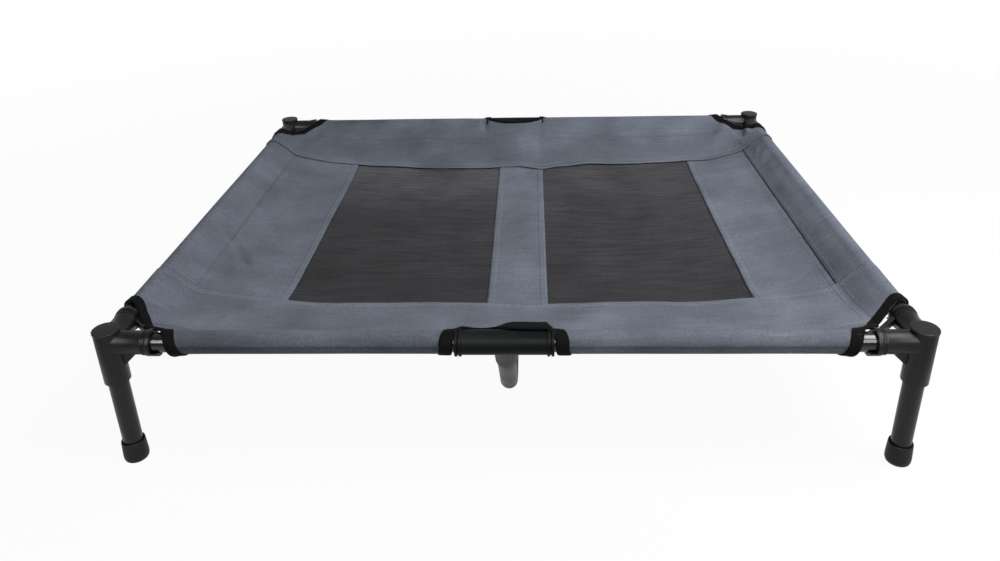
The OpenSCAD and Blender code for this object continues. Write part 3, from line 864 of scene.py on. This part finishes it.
def hem_reach(u, rear):
    if rear < 0:
        return hem_y
    return hem_y + rear_lap * ease_in((hem_x - lap_stops - abs(u)) / lap_ramp)


def band_end(u, rear):
    over = abs(u) - hem_x
    aside = u - coupler_x
    if abs(aside) < flap_half:
        return hem_y + hem_len - along_line(flap_edge[rear], aside)
    if over <= 0:
        return hem_reach(u, rear)
    return min(hem_y, side_end_cut(hem_len - over, rear, 1 if u > 0 else -1))


# The last rows of a band, past 1, climb the slope behind a coupler and come to nothing elsewhere
def band_reach(u, rear, share, start):
    hem_at = min(hem_reach(u, rear), band_end(u, rear))
    if share <= 1:
        return start + (hem_at - start) * share
    return hem_at + (band_end(u, rear) - hem_at) * (share - 1)


def front_cut(u, share):
    v = -band_reach(u, -1, share, -window_front)
    return u, v, canvas_ply + flap_rise(u, v), fold_tone if v > window_front - fold_wide else 1.0


# The lip curls up, and two more rows turn it under: how far past its edge and how far below they lie.
# Past the lip the rear band is darker, and the centre strip shows through it.
rear_tone = 0.88
lip_wide = 0.016
lip_curl = 0.0012
curl_reach = 0.010
turned_under = {-0.03: (0.009, 0.0011), -0.01: (-0.0007, 0.0006)}
strip_shows = (0.001, 0.044)
strip_ramp = 0.004
strip_lift = 0.0005
strip_tone = 0.06


def rear_cut(u, share):
    lip = lip_at(u)
    v = band_reach(u, 1, max(0.0, share), lip)
    lift = canvas_ply + lip_curl * math.exp(-(v - lip) / curl_reach) + flap_rise(u, v)
    if share in turned_under:
        past, below = turned_under[share]
        v = lip + past
        lift -= below
    tone = 1.0 if v < lip + lip_wide else rear_tone
    over_strip = ease_in((u - strip_shows[0]) / strip_ramp) * ease_in((strip_shows[1] - u) / strip_ramp)
    return u, v, lift + strip_lift * over_strip, tone + strip_tone * over_strip


flap_stops = (0.0569, 0.0567, 0.055, 0.053, 0.050)
flap_marks = [coupler_x + side * stop for side in (-1, 1) for stop in flap_stops]
band_columns = spread(-hem_x - wing_len, hem_x + wing_len, 0.0042, [-hem_x, hem_x] + flap_marks)
flap_rows = spread(1.04, 2, 0.04)
band_deep = hem_len + hem_y
lip_cut_at = 0.222
bands = [
    ("front_band", spread(0, 1, 0.036), front_cut, band_deep + window_front),
    ("rear_band", list(turned_under) + spread(0, 1, 0.04), rear_cut, band_deep - lip_cut_at),
]
for node, rows, cut, deep in bands:
    band, band_area = cloth_sheet(
        node + "_cloth", band_columns, rows + flap_rows, cut, canvas_ply, canvas_finish
    )
    declare_sheet(band, node)

# Pockets: the edge of the canvas is folded round each rail and sewn back to the mat along the hem.
# The ends are cut back clear of the corner fittings and of the coupler, and stand a little open.

flare = 0.0016
flare_reach = 0.008
flare_from = 0.020
step_at = -0.0175
step_depth = 0.0006
# Painted shade on the pocket's underside, below the step, where it faces the floor
under_painted_shade = 0.87
notch_lap = 0.0016
notch_rake = 0.16
notch_from = -0.012


def notch_half(s):
    return flap_half - notch_lap + notch_rake * min(max(0.0, notch_from - s), rake_len)


def pocket_lift(s, to_end):
    lift = canvas_ply + flare * math.exp(-to_end / flare_reach) * (1 if s < flare_from else 0)
    return lift if s > step_at else lift - step_depth


tail_step = 0.006
turn_step = 0.0016
rise_step = 0.004
pocket_rows = sorted(
    spread(-wrap_len - slope_len, -wrap_len, tail_step)
    + spread(-wrap_len + turn_step, crown_len, turn_step)
    + spread(crown_len + rise_step, hem_len, rise_step)
    + [step_at - 0.0001, step_at + 0.0001]
)
pocket_shares = sorted(spread(0, 1, 0.0125) + [0.004, 0.008, 0.018, 0.992, 0.996, 0.982])

# The rear left pocket has a smudge on its crown, and the front left one gets painted shade all over, as
# light from the right falls off there.
# The inner edge of a rear pocket sinks under the band that laps over it.
smudge_u = -0.307
smudge_s = 0.006
smudge_long = 0.032
smudge_wide = 0.006
smudge_dark = 0.22
front_left_painted_shade = 0.07
sink_from = 0.006
sink_ramp = 0.003


def end_pocket_cut(rear, right):
    def cut(share, s):
        outer = end_cut(s, rear, right)
        inner = notch_half(s) + right * coupler_x
        along = outer + (inner - outer) * share
        u = right * along
        lift = pocket_lift(s, outer - along)
        # Below the step the underside gets painted shade
        tone = 1.0 if s > step_at else under_painted_shade
        if rear > 0:
            tone -= smudge_dark * bell((u - smudge_u) / smudge_long) * bell((s - smudge_s) / smudge_wide)
            lift -= rear_sink * ease_in((s - hem_len + sink_from) / sink_ramp)
        # The front left pocket gets painted shade all over
        elif right < 0:
            tone -= front_left_painted_shade
        return u, rear * (hem_y + hem_len - s), lift, tone
    return cut


def side_pocket_cut(right):
    def cut(share, s):
        rear_end = side_end_cut(s, 1, right)
        front_end = -side_end_cut(s, -1, right)
        along = front_end + (rear_end - front_end) * share
        to_end = min(along - front_end, rear_end - along)
        return right * (hem_x + hem_len - s), along, pocket_lift(s, to_end) - canvas_ply, 1.0
    return cut


end_pocket_long = 0.42
side_pocket_long = 0.66
pockets = [
    ("pocket_front_left", end_pocket_cut(-1, -1), end_pocket_long),
    ("pocket_front_right", end_pocket_cut(-1, 1), end_pocket_long),
    ("pocket_rear_left", end_pocket_cut(1, -1), end_pocket_long),
    ("pocket_rear_right", end_pocket_cut(1, 1), end_pocket_long),
    ("pocket_side_left", side_pocket_cut(-1), side_pocket_long),
    ("pocket_side_right", side_pocket_cut(1), side_pocket_long),
]
for node, cut, longest in pockets:
    pocket, pocket_area = cloth_sheet(
        node + "_cloth", pocket_shares, pocket_rows, cut, canvas_ply, canvas_finish
    )
    declare_sheet(pocket, node)

# Binding tapes: a black woven tape is folded over every cut edge of the mat, at the four corners and
# at the two couplers, and sewn through.

corner_tape_wide = 0.0115
coupler_tape_wide = {-1: 0.0135, 1: 0.0050}
tape_ply = 0.0007
tape_step = 0.0025
pucker = 0.0003
puckers_per_metre = 90
tape_black = (0.0052, 0.0054, 0.0058, 1)
tape_finish = cloth_finish(
    "black tape", tape_black, pitch=0.0013, weave_depth=0.00025, hole_painted_shade=0.5, mottle=0.12,
    streaks=0.08, rough=(0.66, 0.80), specular_ior_level=0.04,
)

# The folded tape in section: how far in from the cut edge, as a share of its width, and how high
tape_section = [
    (1.0, 0.0004), (0.85, 0.0007), (0.55, 0.0007), (0.25, 0.0008), (0.06, 0.0008), (-0.03, 0.0004),
    (-0.06, -0.0003), (-0.03, -0.0010), (0.10, -0.0014), (0.45, -0.0014), (0.75, -0.0014),
]
section_step = 0.0024


def smoothed(path, rounds):
    for again in range(rounds):
        cut = [path[0]]
        for first, second in zip(path, path[1:]):
            cut.append(first.lerp(second, 0.25))
            cut.append(first.lerp(second, 0.75))
        cut.append(path[-1])
        path = cut
    return path


def respaced(path, step):
    lengths = [0.0]
    for first, second in zip(path, path[1:]):
        lengths.append(lengths[-1] + (second - first).length)
    count = max(2, round(lengths[-1] / step))
    even = []
    k = 0
    for n in range(count + 1):
        target = lengths[-1] * n / count
        while k < len(lengths) - 2 and lengths[k + 1] < target:
            k += 1
        share = (target - lengths[k]) / max(1e-9, lengths[k + 1] - lengths[k])
        even.append(path[k].lerp(path[k + 1], min(1.0, max(0.0, share))))
    return even, lengths[-1]


def ply_at(u, v):
    return canvas_ply if v < window_front or v > lip_at(u) else 0.0


# The pocket ends stand open at the corners, and the tape with them
coupler_clear = 0.12


def edge_flare(u, v, inside):
    over = max(abs(u) - hem_x, abs(v) - hem_y)
    if abs(u - coupler_x) < coupler_clear or hem_len - over > flare_from:
        return 0.0
    return flare * math.exp(-max(0.0, inside) / flare_reach)


def tape_strip(name, path, towards, node, wide):
    points, length = respaced(smoothed(path, 3), tape_step)
    half_way = len(points) // 2
    middle_run = points[half_way + 1] - points[half_way - 1]
    turn = 1 if Vector((-middle_run.y, middle_run.x)).dot(towards) > 0 else -1

    def form(i, j):
        run = points[min(i + 1, len(points) - 1)] - points[max(i - 1, 0)]
        inward = Vector((-run.y, run.x)).normalized() * turn
        share, lift = tape_section[j]
        spot = points[i] + inward * (share * wide)
        wave_at = points[i] * puckers_per_metre
        base = ply_at(*points[i]) + edge_flare(spot.x, spot.y, share * wide)
        base += pucker * noise.noise(Vector((wave_at.x, wave_at.y, share))) + flap_rise(spot.x, spot.y)
        flat_place = (length * i / (len(points) - 1), j * section_step)
        return mat_point(spot.x, spot.y, base + lift), flat_place, 1.0

    bm = woven_grid(len(points), len(tape_section), form)[0]
    tape_area = sum(face.calc_area() for face in bm.faces)
    tape = new_piece(name, bm, tape_finish)
    thicken(tape, tape_ply, 0)
    declare_sheet(tape, node)


def over_end(u, s, rear):
    return Vector((u, rear * (hem_y + hem_len - s)))


def over_side(right, s, v):
    return Vector((right * (hem_x + hem_len - s), v))


tape_stops = [-0.052, -0.036, -0.024, -0.012, 0.0, 0.010, 0.020]
near_mitre = (0.011, 0.004)
for corner_name in corners:
    right = 1 if "right" in corner_name else -1
    rear = 1 if "rear" in corner_name else -1
    mitre_x, mitre_y = mitre_in[rear, right]
    side_stops = sorted(tape_stops + [slack_len + mitre_x - gap for gap in near_mitre])
    end_stops = sorted(tape_stops + [slack_len + mitre_y - gap for gap in near_mitre])
    up_side = [over_side(right, s, rear * side_end_cut(s, rear, right)) for s in side_stops]
    along_end = [over_end(right * end_cut(s, rear, right), s, rear) for s in end_stops]
    mitre = Vector((right * (half_x - mitre_x), rear * (half_y - mitre_y)))
    tape_strip(
        "binding_" + corner_name, up_side + [mitre] + along_end[::-1], Vector((-right, -rear)),
        "corner_tape_" + corner_name, corner_tape_wide,
    )
notch_stops = (-0.052, -0.036, -0.026, -0.018)
for end, rear in (("front", -1), ("rear", 1)):
    left_side = [over_end(coupler_x - notch_half(s), s, rear) for s in notch_stops]
    right_side = [Vector((2 * coupler_x - p.x, p.y)) for p in left_side]
    behind = [over_end(coupler_x + x, s, rear) for x, s in flap_edge[rear]]
    tape_strip(
        "binding_" + end, left_side + behind + right_side[::-1], Vector((0, -rear)), "coupler_tape_" + end,
        coupler_tape_wide[rear],
    )

# Stitching: polyester thread, two grey rows along the front seam and along the right hem, a dark one
# along the left hem, whose dark colour is painted shade of the crease it lies in, and slate ones along
# the other hems and folds. Each stitch lies half sunk.

stitch_long = 0.0033
stitch_thick = 0.0007
stitch_pitch = 0.0042
stitch_lift = 0.0001
thread_grey = (0.240, 0.255, 0.290, 1)
thread_slate = (0.168, 0.184, 0.222, 1)
# Painted shade: the left hem's thread is as dark as the crease it lies in
thread_crease_shade = (0.060, 0.068, 0.086, 1)


def thread_finish(name, colour):
    material, tree, shader = finish(name, roughness=0.6, sheen_weight=0.1)
    wear_and_sheen = use_effect(tree, handling, cloud_size=0.01)
    shade = tint(tree, colour, remap(tree, wear_and_sheen["Cloud"], *noise_span, 0.8, 1.2))
    tree.links.new(shade, shader.inputs["Base Color"])
    return material


grey_thread = thread_finish("grey thread", thread_grey)
slate_thread = thread_finish("slate thread", thread_slate)
crease_shade_thread = thread_finish("thread painted as crease shade", thread_crease_shade)
row_threads = {
    "stitches_front_seam": grey_thread, "stitches_right_hem": grey_thread, "stitches_left_hem": crease_shade_thread,
}


def stitch_row(bm, start, end, above):
    points = respaced([Vector(start), Vector(end)], stitch_pitch)[0]
    size = Matrix.Diagonal((stitch_long / 2, stitch_thick / 2, stitch_thick / 2, 1))
    for first, second in zip(points, points[1:]):
        middle = (first + second) / 2
        lift = ply_at(middle.x, middle.y) + above
        here = mat_point(middle.x, middle.y, lift)
        ahead = (mat_point(second.x, second.y, lift) - mat_point(first.x, first.y, lift)).normalized()
        up = mat_point(middle.x, middle.y, lift + 0.001) - here
        across = up.cross(ahead).normalized()
        turn = Matrix((ahead, across, ahead.cross(across))).transposed().to_4x4()
        stitch_at = Matrix.Translation(here) @ turn @ size
        bmesh.ops.create_icosphere(bm, subdivisions=1, radius=1, matrix=stitch_at)


seam_end = hem_x + hem_len - 0.004
seam_lines = [window_front - inset for inset in (0.0030, 0.0085)]
left_hem_line = -hem_x + 0.0015
right_hem_lines = [(hem_x - 0.0042, 0.322), (hem_x + 0.0068, 0.318)]
end_hem_line = hem_y - 0.002
end_hem_runs = [(-0.400, -0.070), (0.062, 0.400)]
fold_line = fold_wide - 0.002
fold_lines = [
    (band_left - fold_line, 0.236), (band_right + fold_line, 0.236),
    (strip_left + fold_line, 0.230), (strip_right - fold_line, 0.224),
]
seam_rows = {
    "stitches_front_seam": [((-seam_end, v), (seam_end, v)) for v in seam_lines],
    "stitches_left_hem": [((left_hem_line, -0.222), (left_hem_line, 0.322))],
    "stitches_right_hem": [((u, -end), (u, end)) for u, end in right_hem_lines],
    "stitches_front_hem": [((start, -end_hem_line), (end, -end_hem_line)) for start, end in end_hem_runs],
    "stitches_rear_hem": [((start, end_hem_line), (end, end_hem_line)) for start, end in end_hem_runs],
    "stitches_windows": [((u, window_front), (u, end)) for u, end in fold_lines],
}
for row_name, rows in seam_rows.items():
    on_end_band = "front" in row_name or "rear" in row_name
    row_bm = bmesh.new()
    for start, end in rows:
        stitch_row(row_bm, start, end, stitch_lift if on_end_band else fold_lift + stitch_lift)
    for face in row_bm.faces:
        face.smooth = True
    new_piece(row_name, row_bm, row_threads.get(row_name, slate_thread))

# Camera: above the middle of the front edge, looking a little down and to the left. Its place and
# its turn were fitted to the posts, feet and rails in the photograph.

camera_at = (0.029, -1.091, 0.656)
pitch = math.radians(22.79)
yaw = math.radians(-2.53)
roll = math.radians(1.51)
camera_data = bpy.data.cameras.new("camera")
camera_data.sensor_width = 36
camera_data.lens = 28.6
camera_data.shift_y = -0.10
camera = bpy.data.objects.new("camera", camera_data)
bpy.context.scene.collection.objects.link(camera)
ahead = Vector((math.sin(yaw) * math.cos(pitch), math.cos(yaw) * math.cos(pitch), -math.sin(pitch)))
level = Vector((math.cos(yaw), -math.sin(yaw), 0))
below = ahead.cross(level)
to_right = level * math.cos(roll) + below * math.sin(roll)
down = -level * math.sin(roll) + below * math.cos(roll)
camera_turn = Matrix((to_right, -down, -ahead)).transposed().to_4x4()
camera.matrix_world = Matrix.Translation(camera_at) @ camera_turn
bpy.context.scene.camera = camera

# Studio light: a large box overhead, a box to the right as the key, and two strips above the camera
# that show only as white streaks in the glossy pieces.


def soft_box(name, place_at, aim, wide, deep, watts):
    lamp = bpy.data.lights.new(name, "AREA")
    lamp.shape = "RECTANGLE"
    lamp.size = wide
    lamp.size_y = deep
    lamp.energy = watts
    box = bpy.data.objects.new(name, lamp)
    bpy.context.scene.collection.objects.link(box)
    box.location = place_at
    box.rotation_euler = (Vector(aim) - Vector(place_at)).to_track_quat("-Z", "Y").to_euler()
    box.visible_camera = False
    return box


soft_box("overhead box", (0.1, 0.3, 2.3), aim=(0.0, 0.0, 0.1), wide=2.4, deep=1.8, watts=4.5)
soft_box("key box", (1.00, -0.42, 1.42), aim=(0.05, 0.0, 0.1), wide=0.9, deep=0.8, watts=33)
for strip_name, strip_place in (("low strip", (0.0, -1.85, 1.08)), ("high strip", (0.0, -1.62, 1.62))):
    strip_lamp = soft_box(strip_name, strip_place, aim=(0.0, -0.3, 0.15), wide=2.9, deep=0.20, watts=42)
    strip_lamp.visible_diffuse = False

# Backdrop and floor: white to the camera, with the soft shadow kept on the floor. In reflections the
# studio is white behind the cot, and darker high up and on the camera's side.

fill_light = 0.20
world = bpy.data.worlds.new("white studio")
bpy.context.scene.world = world
world.use_nodes = True
world_tree = world.node_tree
seen = place(world_tree, "ShaderNodeLightPath").outputs
direction = place(world_tree, "ShaderNodeTexCoord").outputs["Generated"]
heading = place(world_tree, "ShaderNodeSeparateXYZ", {"Vector": direction}).outputs
wall_behind = remap(world_tree, heading["Y"], -0.4, 0.3, 0.2, 1.0)
wall_low = remap(world_tree, heading["Z"], 0.10, 0.35, 1.0, 0.40)
studio_wall = calc(world_tree, "MULTIPLY", wall_behind, wall_low)
reflected = calc(world_tree, "MULTIPLY", seen["Is Glossy Ray"], studio_wall)
straight = calc(world_tree, "MAXIMUM", seen["Is Camera Ray"], reflected)
straight = calc(world_tree, "MAXIMUM", straight, seen["Is Transmission Ray"])
backdrop = world_tree.nodes["Background"]
backdrop.inputs["Color"].default_value = (1, 1, 1, 1)
world_tree.links.new(remap(world_tree, straight, 0.0, 1.0, fill_light, 1.0), backdrop.inputs["Strength"])

floor_size = 30.0
floor_white = (0.70, 0.70, 0.70, 1)
floor_glow = 0.95
fade_from = 1.0
fade_to = 2.2
floor_bm = bmesh.new()
bmesh.ops.create_grid(floor_bm, x_segments=1, y_segments=1, size=floor_size / 2)
floor_mesh = bpy.data.meshes.new("floor")
floor_bm.to_mesh(floor_mesh)
floor_bm.free()
floor = bpy.data.objects.new("floor", floor_mesh)
bpy.context.scene.collection.objects.link(floor)
floor_finish, floor_tree, floor_shader = finish("white floor", roughness=0.9, specular_ior_level=0.1)
floor_shader.inputs["Base Color"].default_value = floor_white
floor_seen = place(floor_tree, "ShaderNodeLightPath").outputs
glow = place(floor_tree, "ShaderNodeEmission", {"Color": (1, 1, 1, 1), "Strength": 1.0}).outputs["Emission"]
floor_straight = calc(floor_tree, "MAXIMUM", floor_seen["Is Camera Ray"], floor_seen["Is Glossy Ray"])
floor_straight = calc(floor_tree, "MAXIMUM", floor_straight, floor_seen["Is Transmission Ray"])
glow_share = calc(floor_tree, "MULTIPLY", floor_straight, floor_glow)
lit_parts = {0: glow_share, 1: floor_shader.outputs["BSDF"], 2: glow}
lit_floor = place(floor_tree, "ShaderNodeMixShader", lit_parts).outputs["Shader"]
floor_place = place(floor_tree, "ShaderNodeTexCoord").outputs["Object"]
from_middle = place(floor_tree, "ShaderNodeVectorMath", {0: floor_place}, operation="LENGTH")
faded = remap(floor_tree, from_middle.outputs["Value"], fade_from, fade_to, 0.0, 1.0)
clear = place(floor_tree, "ShaderNodeBsdfTransparent").outputs["BSDF"]
faded_floor = place(floor_tree, "ShaderNodeMixShader", {0: faded, 1: lit_floor, 2: clear})
floor_tree.links.new(faded_floor.outputs["Shader"], floor_tree.nodes["Material Output"].inputs["Surface"])
floor_mesh.materials.append(floor_finish)

bpy.context.scene.view_settings.view_transform = "Standard"
